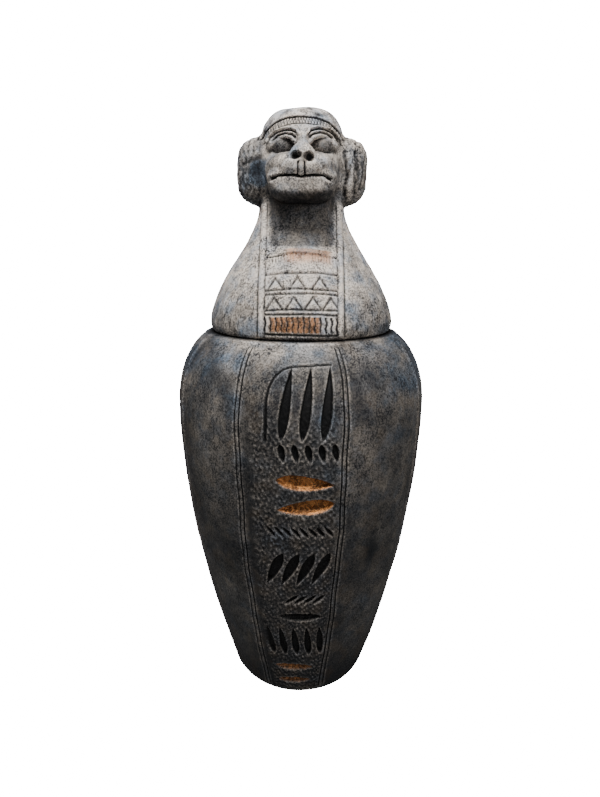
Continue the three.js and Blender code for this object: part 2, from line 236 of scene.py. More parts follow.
def turned(profile: list[tuple[float, float]], steps: int) -> bmesh.types.BMesh:
    """Spins a profile about the upright axis into a closed skin.

    Args:
        profile: Radius and height pairs from pole to pole.
        steps: Columns round the axis.

    Returns:
        The skin, with its poles closed and its faces outwards.
    """
    skin = bmesh.new()
    rows = [skin.verts.new((radius, 0.0, height)) for radius, height in profile]
    lines = [skin.edges.new(pair) for pair in zip(rows, rows[1:])]
    bmesh.ops.spin(
        skin, geom=rows + lines, cent=(0, 0, 0), axis=(0, 0, 1), dvec=(0, 0, 0),
        angle=2 * math.pi, steps=steps, use_merge=True, use_duplicate=False,
    )
    bmesh.ops.remove_doubles(skin, verts=skin.verts, dist=1e-3)
    bmesh.ops.recalc_face_normals(skin, faces=skin.faces)
    return skin


def hand_over(mesh: bpy.types.Mesh, name: str, part: Part, finish: bpy.types.Material) -> bpy.types.Object:
    """Turns a finished mesh into a piece that stands for its CAD node.

    Args:
        mesh: The mesh, in millimetres.
        name: The piece's name.
        part: The node it replaces and the slot of its finish.
        finish: Its material.

    Returns:
        The piece, riding on its body.
    """
    mesh.transform(Matrix.Scale(MM, 4))
    mesh.shade_smooth()
    mesh.materials.clear()
    mesh.materials.append(finish)
    piece = bpy.data.objects.new(name, mesh)
    bpy.context.scene.collection.objects.link(piece)
    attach(piece, Body.ROOT.value)
    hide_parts(part.node)
    LOG.info("%s has %d faces", name, len(mesh.polygons))
    return piece


@dataclass(frozen=True)
class PaintedStone:
    """Cast stone painted blue-black, dry-brushed with grey-beige and gilded in places, with painted shade as
    black over its recesses and painted light and shade worked into its dry brushing.
    """

    name: str
    ground: tuple[float, float, float] = (0.0075, 0.0085, 0.0115)
    brown: tuple[float, float, float] = (0.016, 0.0115, 0.009)
    dust: tuple[float, float, float] = (0.74, 0.665, 0.59)
    slate: tuple[float, float, float] = (0.33, 0.415, 0.53)
    rust: tuple[float, float, float] = (0.34, 0.19, 0.09)
    # Black of the painted shade in recesses, seams and under the chin.
    black: tuple[float, float, float] = (0.0035, 0.0035, 0.0042)
    gold: tuple[float, float, float] = (0.47, 0.20, 0.066)
    worn_gold: tuple[float, float, float] = (0.15, 0.066, 0.026)
    brush_width: float = 0.00085
    brush_length: float = 0.0065
    grain: float = 0.0010
    gloss: float = 0.2

    def build(self) -> bpy.types.Material:
        """Makes the material.

        Returns:
            A node material that reads Object coordinates and the piece's own marks.
        """
        finish = bpy.data.materials.new(self.name)
        finish.use_nodes = True
        finish.diffuse_color = (*self.ground, 1)
        tree = Recipe(finish.node_tree)
        place = tree.add("ShaderNodeTexCoord").outputs["Object"]
        # The piece's marks: the dry-brushed dust with painted highlight and painted shade worked into it, the
        # share of painted shade, the gilding and the cooler tint.
        dust_and_painted_light, painted_shade, gilt, cool = (tree.own(name) for name in ("dust_and_painted_light", "painted_shade", "gilt", "cool"))

        brushes = [
            tree.brush(place, turn, self.brush_width * width, self.brush_length * length)
            for turn, width, length in (
                ((0.0, 0.0, 0.0), 1.0, 1.0),
                ((0.0, math.radians(38), 0.0), 0.9, 0.9),
                ((math.radians(34), math.radians(-47), 0.0), 0.9, 0.8),
            )
        ]
        grain = tree.range(tree.noise(place, 1 / self.grain, 2.0, 0.6), 0.33, 0.67)
        patch = tree.range(tree.noise(place, 1 / 0.024, 3.0, 0.6), 0.30, 0.70)
        spread = tree.range(tree.noise(place, 1 / 0.006, 2.0, 0.6), 0.30, 0.70)
        hairs = [
            tree.scratches(place, turn, self.brush_width * 0.8, self.brush_length * 3.6)
            for turn in ((0.0, math.radians(52), 0.0), (math.radians(-30), math.radians(-24), 0.0))
        ]
        strokes = tree.sum((brushes[0], 0.40), (brushes[1], 0.32), (brushes[2], 0.28))
        bristle = tree.range(tree.sum((strokes, 0.60), (grain, 0.40)), 0.33, 0.67)
        worn = tree.sum(
            (bristle, 1.00), (spread, 0.40), (patch, 0.50), (hairs[0], 0.80), (hairs[1], 0.70), (None, -0.06),
        )
        # Dust cover, which carries the painted highlight on the jar's shoulder and the painted shade of
        # hollows, throat and chin.
        dust_and_light_share = tree.product(dust_and_painted_light, worn)

        soil = tree.noise(place, 1 / 0.012, 2.0, 0.5)
        earth = tree.mix(self.ground, self.brown, tree.range(soil, 0.50, 0.66))
        clumps = tree.range(tree.noise(place, 1 / 0.009, 3.0, 0.6), 0.46, 0.66)
        light = tree.mix(self.dust, self.slate, tree.sum((cool, 1.0), (clumps, 0.42)))
        rusted = tree.range(tree.noise(place, 1 / 0.0042, 2.0, 0.5), 0.66, 0.72)
        light = tree.mix(light, self.rust, tree.times(rusted, 0.3))
        painted = tree.mix(earth, light, dust_and_light_share)
        # Painted shade: recesses, seams and the underside of the chin darkened towards black.
        shadowed = tree.mix(painted, self.black, tree.range(painted_shade, 0.15, 1.0))
        rubbed = tree.range(tree.sum((grain, 0.5), (spread, 0.5)), 0.35, 0.65)
        metal = tree.mix(self.worn_gold, self.gold, rubbed)
        colour = tree.mix(shadowed, metal, gilt)

        shader = tree.shader
        tree.link(colour, shader.inputs["Base Color"])
        tree.link(tree.times(gilt, 0.7), shader.inputs["Metallic"])
        roughness = tree.sum((dust_and_light_share, 0.16), (grain, 0.10), (gilt, -0.14), (None, 0.46))
        tree.link(roughness, shader.inputs["Roughness"])
        shader.inputs["Specular IOR Level"].default_value = self.gloss
        relief = tree.sum((strokes, 0.5), (grain, 0.4), (hairs[0], 0.3), (spread, 0.6))
        tree.link(tree.bump(relief, 0.6, 0.00022), shader.inputs["Normal"])
        return finish


class Recipe:
    """Short calls for putting a material's nodes together."""

    def __init__(self, tree: bpy.types.NodeTree) -> None:
        """Starts from a new material's tree, with its main shader."""
        self.tree = tree
        self.shader = tree.nodes["Principled BSDF"]

    def add(self, kind: str) -> bpy.types.Node:
        """Adds a node of a kind."""
        return self.tree.nodes.new(kind)

    def link(self, source: bpy.types.NodeSocket, target: bpy.types.NodeSocket) -> None:
        """Joins two sockets."""
        self.tree.links.new(source, target)

    def own(self, name: str) -> bpy.types.NodeSocket:
        """Reads one of the piece's own marks."""
        node = self.add("ShaderNodeAttribute")
        node.attribute_name = name
        return node.outputs["Fac"]

    def noise(
        self, place: bpy.types.NodeSocket, scale: float, detail: float, rough: float,
    ) -> bpy.types.NodeSocket:
        """Adds a noise pattern.

        Args:
            place: Coordinates.
            scale: Features in each metre.
            detail: Octaves.
            rough: Strength of the finer octaves.

        Returns:
            The noise, spread to about 0 to 1.
        """
        node = self.add("ShaderNodeTexNoise")
        node.inputs["Scale"].default_value = scale
        node.inputs["Detail"].default_value = detail
        node.inputs["Roughness"].default_value = rough
        self.link(place, node.inputs["Vector"])
        return node.outputs[0]

    def brush(
        self, place: bpy.types.NodeSocket, turn: tuple[float, float, float], width: float, length: float,
    ) -> bpy.types.NodeSocket:
        """Adds long thin marks of a dry brush.

        Args:
            place: Coordinates.
            turn: Turn of the marks from upright, in radians.
            width: Width of a mark in metres.
            length: Length of a mark in metres.

        Returns:
            The marks, from about 0 to 1.
        """
        lay = self.add("ShaderNodeMapping")
        lay.vector_type = "TEXTURE"
        lay.inputs["Rotation"].default_value = turn
        lay.inputs["Scale"].default_value = (width, width, length)
        self.link(place, lay.inputs["Vector"])
        return self.range(self.noise(lay.outputs["Vector"], 1.0, 4.0, 0.65), 0.30, 0.70)

    def scratches(
        self, place: bpy.types.NodeSocket, turn: tuple[float, float, float], width: float, length: float,
    ) -> bpy.types.NodeSocket:
        """Adds sparse hair-thin scratches.

        Args:
            place: Coordinates.
            turn: Turn of the scratches from upright, in radians.
            width: Width of a scratch in metres.
            length: Length of a scratch in metres.

        Returns:
            1 in a scratch and 0 elsewhere.
        """
        lay = self.add("ShaderNodeMapping")
        lay.vector_type = "TEXTURE"
        lay.inputs["Rotation"].default_value = turn
        lay.inputs["Scale"].default_value = (width, width, length)
        self.link(place, lay.inputs["Vector"])
        return self.range(self.noise(lay.outputs["Vector"], 1.0, 2.0, 0.5), 0.60, 0.70)

    def range(self, value: bpy.types.NodeSocket, low: float, high: float) -> bpy.types.NodeSocket:
        """Spreads a value between two bounds to 0 to 1."""
        node = self.add("ShaderNodeMapRange")
        node.interpolation_type = "SMOOTHSTEP"
        node.inputs["From Min"].default_value = low
        node.inputs["From Max"].default_value = high
        self.link(value, node.inputs["Value"])
        return node.outputs["Result"]

    def times(self, value: bpy.types.NodeSocket, factor: float) -> bpy.types.NodeSocket:
        """Multiplies a value by a number."""
        return self.sum((value, factor))

    def product(self, first: bpy.types.NodeSocket, second: bpy.types.NodeSocket) -> bpy.types.NodeSocket:
        """Multiplies two values."""
        node = self.add("ShaderNodeMath")
        node.operation = "MULTIPLY"
        self.link(first, node.inputs[0])
        self.link(second, node.inputs[1])
        return node.outputs[0]

    def sum(self, *shares: tuple[bpy.types.NodeSocket | None, float]) -> bpy.types.NodeSocket:
        """Adds values, each times its own factor; a share with no value adds the factor itself."""
        total = None
        for value, factor in shares:
            node = self.add("ShaderNodeMath")
            node.operation = "MULTIPLY_ADD"
            if value is None:
                node.inputs[0].default_value = 1.0
            else:
                self.link(value, node.inputs[0])
            node.inputs[1].default_value = factor
            node.inputs[2].default_value = 0.0
            if total is not None:
                self.link(total, node.inputs[2])
            total = node.outputs[0]
        return total

    def mix(
        self, first: bpy.types.NodeSocket | tuple, second: bpy.types.NodeSocket | tuple,
        share: bpy.types.NodeSocket,
    ) -> bpy.types.NodeSocket:
        """Mixes two colours, each a socket or three numbers, by a share."""
        node = self.add("ShaderNodeMix")
        node.data_type = "RGBA"
        node.clamp_factor = True
        self.link(share, node.inputs[0])
        for value, socket in ((first, node.inputs[6]), (second, node.inputs[7])):
            if isinstance(value, tuple):
                socket.default_value = (*value, 1.0)
            else:
                self.link(value, socket)
        return node.outputs[2]

    def bump(self, height: bpy.types.NodeSocket, strength: float, distance: float) -> bpy.types.NodeSocket:
        """Turns a height into a bent normal."""
        node = self.add("ShaderNodeBump")
        node.inputs["Strength"].default_value = strength
        node.inputs["Distance"].default_value = distance
        self.link(height, node.inputs["Height"])
        return node.outputs["Normal"]


@dataclass(frozen=True)
class StrokeRow:
    """A row of like chisel strokes, placed by azimuth from the panel's middle and by height."""

    start: float
    end: float
    count: int
    height: float
    length: float
    width: float
    lean: float
    taper: float = 0.0
    depth: float = 1.6
    gilt: float = 0.0

    def azimuths(self) -> Points:
        """The azimuth of each stroke in the row."""
        return np.linspace(self.start, self.end, self.count)


@dataclass
class Jar:
    """The hollow jar with its scribed lines, arched border and chiselled panel."""

    height: float = 249.0
    belly_radius: float = 81.7
    belly_height: float = 202.0
    taper_drop: float = 37.5
    taper_power: float = 1.84
    shoulder_drop: float = 27.6
    shoulder_reach: float = 48.0
    foot_round: float = 10.0
    rim_radius: float = 59.0
    rim_round: float = 2.0
    wall: float = 9.0
    floor: float = 14.0
    mouth_radius: float = 42.0
    rim_thickness: float = 10.0
    panel_turn: float = -4.0
    panel: tuple[float, float] = (-15.5, 22.0)
    line_azimuths: tuple[float, ...] = (-62, -22.4, 22.4, 69, 112, 157, 202, 250)
    line_gap: float = 1.35
    line_width: float = 0.7
    line_depth: float = 0.95
    line_span: tuple[float, float] = (5.0, 245.5)
    # Turn of the painted highlight on the shoulder from the panel's middle, in degrees.
    shine_turn: float = 9.0
    # Lightness by height: darker towards the foot, lighter towards the rim.
    paint_levels: tuple[tuple[float, ...], tuple[float, ...]] = (
        (0, 20, 60, 110, 160, 205, 228, 240, 249),
        (0.003, 0.011, 0.062, 0.082, 0.096, 0.126, 0.128, 0.13, 0.20),
    )
    arch: Path = (
        (-10.3, 196), (-10, 203), (-10, 219), (-9.2, 225.9), (-7.1, 231.7), (-3.8, 235.6), (0, 237),
        (17.5, 238.2),
    )
    rows: tuple[StrokeRow, ...] = (
        StrokeRow(-2, 15, 3, 217, 44, 6, -7, -0.45),
        StrokeRow(-3.5, 18.5, 5, 188.5, 12, 4.2, 12, 0.3),
        StrokeRow(6, 6, 1, 170.5, 34, 9.5, 84, 0.3, 2.6, 1.0),
        StrokeRow(6.5, 6.5, 1, 155, 34, 9.5, 97, -0.3, 2.6, 1.0),
        StrokeRow(-9, 17, 8, 138.5, 9, 2.4, 38),
        StrokeRow(-8, 14, 4, 112, 26, 6.5, -24, 0.4),
        StrokeRow(0, 14, 4, 89, 11, 3, -50),
        StrokeRow(4.5, 4.5, 1, 74.5, 28, 7, 90, 0, 2.2),
        StrokeRow(-14, 17, 5, 53, 26, 4.8, 6, -0.3),
        StrokeRow(0, 0, 1, 29, 25, 6, 88, 0, 2.2, 0.6),
        StrokeRow(0, 0, 1, 16, 22, 5, 92, 0, 2.0, 0.6),
    )

    def radius(self, height: Points) -> Points:
        """Radius of the outside at each height."""
        height = np.asarray(height, float)
        above = np.clip((height - self.belly_height) / self.shoulder_reach, 0, 1)
        below = np.clip((self.belly_height - height) / self.belly_height, 0, 1)
        low = np.clip(self.foot_round - height, 0, self.foot_round)
        tuck = 0.5 * (self.foot_round - np.sqrt(self.foot_round ** 2 - low ** 2))
        return (self.belly_radius - self.shoulder_drop * (1 - np.sqrt(1 - above ** 2))
                - self.taper_drop * below ** self.taper_power - tuck)

    def outside(self, height: Points) -> Points:
        """Radius of the outside with the rounded rim, which dips under the lid's edge."""
        height = np.asarray(height, float)
        start = self.height - self.rim_round
        rise = np.clip((height - start) / self.rim_round, 0, 1)
        inner = self.rim_radius - 1.2
        rounded = inner + (self.radius(start) - inner) * np.sqrt(1 - rise ** 2)
        return np.where(height > start, rounded, self.radius(height))

    def profile(self) -> list[tuple[float, float]]:
        """Radius and height pairs from the underside, up the outside and down into the hollow."""
        heights = np.concatenate([
            np.linspace(0, 10, 9), np.linspace(10, 240, 101)[1:], np.linspace(240, self.height, 15)[1:],
        ])
        outer = list(zip(self.outside(heights), heights))
        under_rim = self.height - self.rim_thickness
        rim = [(radius, self.height) for radius in (54.0, 50.0, 46.0)]
        mouth = [(self.mouth_radius + 0.8, self.height), (self.mouth_radius, self.height - 0.8),
                 (self.mouth_radius, under_rim + 0.8), (self.mouth_radius + 0.8, under_rim)]
        inner = [(float(self.radius(height)) - self.wall, height) for height in np.linspace(223, 26, 22)]
        base = [(float(self.radius(self.floor)) - self.wall - 5, self.floor)]
        return [(0, 0), (20, 0), (34, 0), *outer, *rim, *mouth, (self.mouth_radius + 14, under_rim - 4),
                *inner, *base, (20, self.floor), (0, self.floor)]

    def spacing(self, azimuth: Points) -> Points:
        """Angle between columns at an azimuth from the panel's middle: close at lines and strokes."""
        gaps = np.full(azimuth.shape, 2.3)
        in_panel = (azimuth > self.panel[0]) & (azimuth < self.panel[1])
        gaps[in_panel] = 0.37
        for line in self.line_azimuths:
            near = np.abs((azimuth - line + 180) % 360 - 180)
            gaps = np.minimum(gaps, np.where(near < 1.75, 0.22, 0.22 + 0.55 * (near - 1.75)).clip(0.22, 2.3))
        return gaps

    def columns(self) -> Points:
        """Azimuths of the columns, from the panel's middle once round."""
        fine = np.linspace(-180, 180, 36001)
        count = np.cumsum(np.r_[0, 0.01 / self.spacing(fine[:-1])])
        number = int(round(count[-1]))
        return np.interp(np.arange(number) * count[-1] / number, count, fine)

    def spread_lines(self, azimuth: Points, height: Points) -> Points:
        """Keeps each pair of lines the same width in millimetres and lets it waver as a hand does."""
        widen = self.belly_radius / self.radius(np.clip(height, 2, 240))
        moved = azimuth.copy()
        for index, line in enumerate(self.line_azimuths):
            off = (azimuth - line + 180) % 360 - 180
            near = 1 - ease(1.9, 5.5, np.abs(off))
            waver = 0.17 * np.sin(height / 13.0 + 1.7 * index) + 0.12 * np.sin(height / 5.1 + 2.9 * index)
            moved += near * (off * (widen - 1) + waver)
        return moved

    def carve(self, azimuth: Points, height: Points, first: Points) -> dict[str, Points]:
        """Works out the carving of the outside.

        Args:
            azimuth: Where each vertex is, from the panel's middle.
            height: Its height.
            first: Its azimuth before the lines were spread, which its lines follow.

        Returns:
            Depth in millimetres, gilding from 0 to 1 and the black of painted shade in the recesses from 0 to
            1.
        """
        radius = self.radius(height)
        depth = np.zeros(height.shape)
        gilt = np.zeros(height.shape)
        black = np.zeros(height.shape)
        ends = ease(self.line_span[0], self.line_span[0] + 4, height)
        ends = ends * (1 - ease(self.line_span[1], 247.5, height))
        # The black in the scribed lines, the arch and the plain strokes is painted shade in their grooves.
        for line in self.line_azimuths:
            off = np.radians((first - line + 180) % 360 - 180) * self.belly_radius
            gap = np.abs(np.abs(off) - self.line_gap)
            groove = np.clip(1 - (gap / self.line_width) ** 2, 0, 1) * ends
            lip = np.exp(-((gap - 0.85) / 0.3) ** 2) * ends
            depth = np.maximum(depth, groove * self.line_depth) - 0.06 * lip
            black = np.maximum(black, groove)
        across = np.radians(azimuth) * 75.0
        arch = tuple((math.radians(turn) * 75.0, level) for turn, level in self.arch)
        gap, along = path_distance(across, height, arch)
        width = 1.25 - 0.55 * ease(0.2, 0.7, along)
        groove = np.clip(1 - (gap / width) ** 2, 0, 1)
        depth = np.maximum(depth, groove * 1.05)
        black = np.maximum(black, groove)
        for row in self.rows:
            for number, place in enumerate(row.azimuths()):
                cut, inside = self.stroke(row, place + 0.25 * math.sin(3.1 * number), azimuth, height, radius)
                depth = np.maximum(depth, cut)
                if row.gilt:
                    gilt = np.maximum(gilt, inside * row.gilt)
                else:
                    black = np.maximum(black, inside * 0.9)
        return {"depth": depth, "gilt": gilt, "black": black}

    def stroke(
        self, row: StrokeRow, place: float, azimuth: Points, height: Points, radius: Points,
    ) -> tuple[Points, Points]:
        """Cuts one chisel stroke.

        Args:
            row: The row's measures.
            place: The stroke's azimuth.
            azimuth: Azimuth of each vertex.
            height: Height of each vertex.
            radius: Radius of the outside at each vertex.

        Returns:
            Depth in millimetres, and 1 inside the stroke.
        """
        lean = math.radians(row.lean)
        side = np.radians(azimuth - place) * radius
        rise = (height - row.height) / math.cos(math.atan(0.25))
        along = (-side * math.sin(lean) + rise * math.cos(lean)) / (row.length / 2)
        off = side * math.cos(lean) + rise * math.sin(lean)
        swell = np.clip(1 - np.abs(along) ** 2.4, 0, 1) ** 0.8
        half = row.width / 2 * swell * (1 + row.taper * along.clip(-1, 1))
        inside = half - np.abs(off)
        lower = off < 0
        wall = np.where(lower, 0.22, 0.17) * row.width
        depth = row.depth * 1.3 * ease(-0.1, 1.0, inside / wall) * (np.abs(along) < 1)
        return depth, ease(-0.15, 0.45, inside) * (np.abs(along) < 1)

    def build(self) -> bpy.types.Mesh:
        """Builds the jar's mesh.

        Returns:
            The closed, hollow mesh with its marks.
        """
        columns = self.columns()
        skin = turned(self.profile(), len(columns))
        step = 2 * math.pi / len(columns)
        kept = skin.verts.layers.float.new("first")
        for vertex in skin.verts:
            if math.hypot(vertex.co.x, vertex.co.y) < 1e-3:
                continue
            radius = math.hypot(vertex.co.x, vertex.co.y)
            turn = round(math.atan2(vertex.co.x, -vertex.co.y) / step) % len(columns)
            vertex[kept] = columns[turn]
            place = math.radians(columns[turn] + self.panel_turn)
            vertex.co.x, vertex.co.y = radius * math.sin(place), -radius * math.cos(place)
        low, high = self.panel
        upright = [
            edge for edge in skin.edges
            if all(low - 1 < v[kept] < high + 1 and 9.9 < v.co.z < 240.2 and math.hypot(v.co.x, v.co.y)
                   > self.radius(v.co.z) - 3 for v in edge.verts)
            and abs(edge.verts[0][kept] - edge.verts[1][kept]) < 1e-4
        ]
        bmesh.ops.subdivide_edges(skin, edges=upright, cuts=3, use_grid_fill=True)
        mesh = bpy.data.meshes.new("painted_jar")
        skin.to_mesh(mesh)
        skin.free()
        sheet = Sheet(mesh)
        first = np.zeros(len(sheet.points), np.float32)
        mesh.attributes["first"].data.foreach_get("value", first)
        mesh.attributes.remove(mesh.attributes["first"])
        self.shape(sheet, first.astype(float))
        return mesh

    def shape(self, sheet: Sheet, first: Points) -> None:
        """Moves the outside into its carved form and stores its marks.

        Args:
            sheet: The mesh's arrays.
            first: Each vertex's azimuth from the panel's middle before its lines are spread.
        """
        x, y, height = sheet.points.T
        radius = np.hypot(x, y)
        outer = (radius > self.outside(height) - 3) & (height > 0.01) & (height < self.height - 0.01)
        azimuth = self.spread_lines(first, height)
        carving = self.carve(azimuth, height, first)
        wave = (0.22 * Unevenness(3, 70).at(sheet.points) + 0.10 * Unevenness(5, 22).at(sheet.points)
                + 0.05 * Unevenness(8, 7).at(sheet.points))
        within = ease(-20.5, -18.5, azimuth) * ease(20.5, 18.5, azimuth) * outer
        rough = 0.20 * Unevenness(61, 3.4).at(sheet.points) + 0.12 * Unevenness(62, 1.9).at(sheet.points)
        wave = wave + rough * within * ease(222, 196, height)
        fade = ease(0, 8, height) * (1 - ease(243, 248, height))
        slope = (self.outside(height + 0.5) - self.outside(height - 0.5)).clip(-2, 2)
        lean = 1 / np.sqrt(1 + slope ** 2)
        sunk = (carving["depth"] - wave * fade) * outer
        new_radius = np.where(outer, self.outside(height) - sunk * lean, radius)
        new_height = np.where(outer, height + sunk * lean * slope * fade, height)
        turn = np.radians(np.where(outer, azimuth, first) + self.panel_turn)
        at_axis = radius < 1e-3
        sheet.points[:, 0] = np.where(at_axis, 0, new_radius * np.sin(turn))
        sheet.points[:, 1] = np.where(at_axis, 0, -new_radius * np.cos(turn))
        sheet.points[:, 2] = new_height
        hollow = sheet.hollowness(6)
        azimuth = np.where(outer, azimuth, first)
        facing = np.cos(np.radians(azimuth + self.panel_turn))
        edge = np.clip(-hollow * 5, 0, 1) * outer * ease(0.5, 0.35, self.spacing(first))
        # Painted shadow in the gap under the lid's edge, and painted shade in the carved grooves and hollows.
        seam_shadow = ease(248.0, 248.8, height) * (radius > 54)
        painted_shade = np.clip(np.maximum(carving["black"], hollow * 3), 0, 1) * (1 - carving["gilt"])
        painted_shade = np.maximum(painted_shade, seam_shadow)
        dust_and_painted_light = np.interp(height, *self.paint_levels)
        dust_and_painted_light = dust_and_painted_light * (1 - (0.14 + 0.42 * ease(228, 190, height)) * within)
        # Painted highlight: lighter dust over the front of the shoulder, standing for the lamp's sheen.
        highlight_facing = np.cos(np.radians(azimuth + self.panel_turn + self.shine_turn))
        dust_and_painted_light = dust_and_painted_light * (1 + (1.35 * ease(0.55, 1.0, highlight_facing) - 0.1) * ease(227, 242, height))
        patches = 0.30 * Unevenness(11, 60).at(sheet.points) + 0.22 * Unevenness(12, 21).at(sheet.points)
        dust_and_painted_light = dust_and_painted_light * (1 + patches) + 0.17 * edge
        inside = ~outer & (radius < self.outside(height) - 3) & (height > 1)
        dust_and_painted_light = np.where(inside, 0.05, dust_and_painted_light)
        cool = ease(205, 235, height) * (1 - np.abs(facing))
        bluer = (0.2 + 0.3 * ease(150, 230, height)) * Unevenness(15, 34).at(sheet.points)
        cool = np.clip(cool + bluer, 0, 0.8)
        sheet.mark("dust_and_painted_light", dust_and_painted_light)
        sheet.mark("painted_shade", painted_shade)
        sheet.mark("gilt", carving["gilt"])
        sheet.mark("cool", cool)
        sheet.write()

    def dress(self, finish: bpy.types.Material) -> bpy.types.Object:
        """Builds the jar and gives it its finish."""
        return hand_over(self.build(), "painted_jar", Part.JAR, finish)


@dataclass(frozen=True)
class Mass:
    """A rounded mass.

    A power over 2 squares its front outline, full over 2 flattens its front, and taper narrows it downwards.
    """

    middle: tuple[float, float, float]
    half: tuple[float, float, float]
    power: float = 2.0
    full: float = 2.0
    taper: float = 0.0

    def distance(self, points: Points) -> Points:
        """Roughly signed distances of points from its surface."""
        x, y, z = ((points - self.middle) / self.half).T
        x = x / (1 + self.taper * z.clip(-1, 1))
        if self.power == self.full == 2.0:
            reach = np.sqrt(x * x + y * y + z * z)
        else:
            front = (np.abs(x) ** self.power + np.abs(z) ** self.power) ** (self.full / self.power)
            reach = (front + np.abs(y) ** self.full) ** (1 / self.full)
        away = np.linalg.norm(points - self.middle, axis=1)
        return away * (1 - 1 / np.maximum(reach, 1e-3))

    def add_to(self, skin: bmesh.types.BMesh) -> None:
        """Adds the mass to a skin as a ball pressed into shape."""
        made = bmesh.ops.create_uvsphere(skin, u_segments=48, v_segments=28, radius=1.0)["verts"]
        for vertex in made:
            x, y, z = vertex.co
            front = (abs(x) ** self.power + abs(z) ** self.power) ** (self.full / self.power)
            grow = 1 / (front + abs(y) ** self.full) ** (1 / self.full)
            x *= 1 + self.taper * z * grow
            vertex.co = Vector(m + c * grow * h for m, c, h in zip(self.middle, (x, y, z), self.half))


@dataclass(frozen=True)
class Mark:
    """A line carved on the front, raised where rise is positive and cut where it is negative, with black as
    painted shade in the cut.
    """

    path: Path
    width: float
    rise: float
    # Share of black that stands as painted shade in the cut.
    black: float = 0.0
    ends: float = 0.06


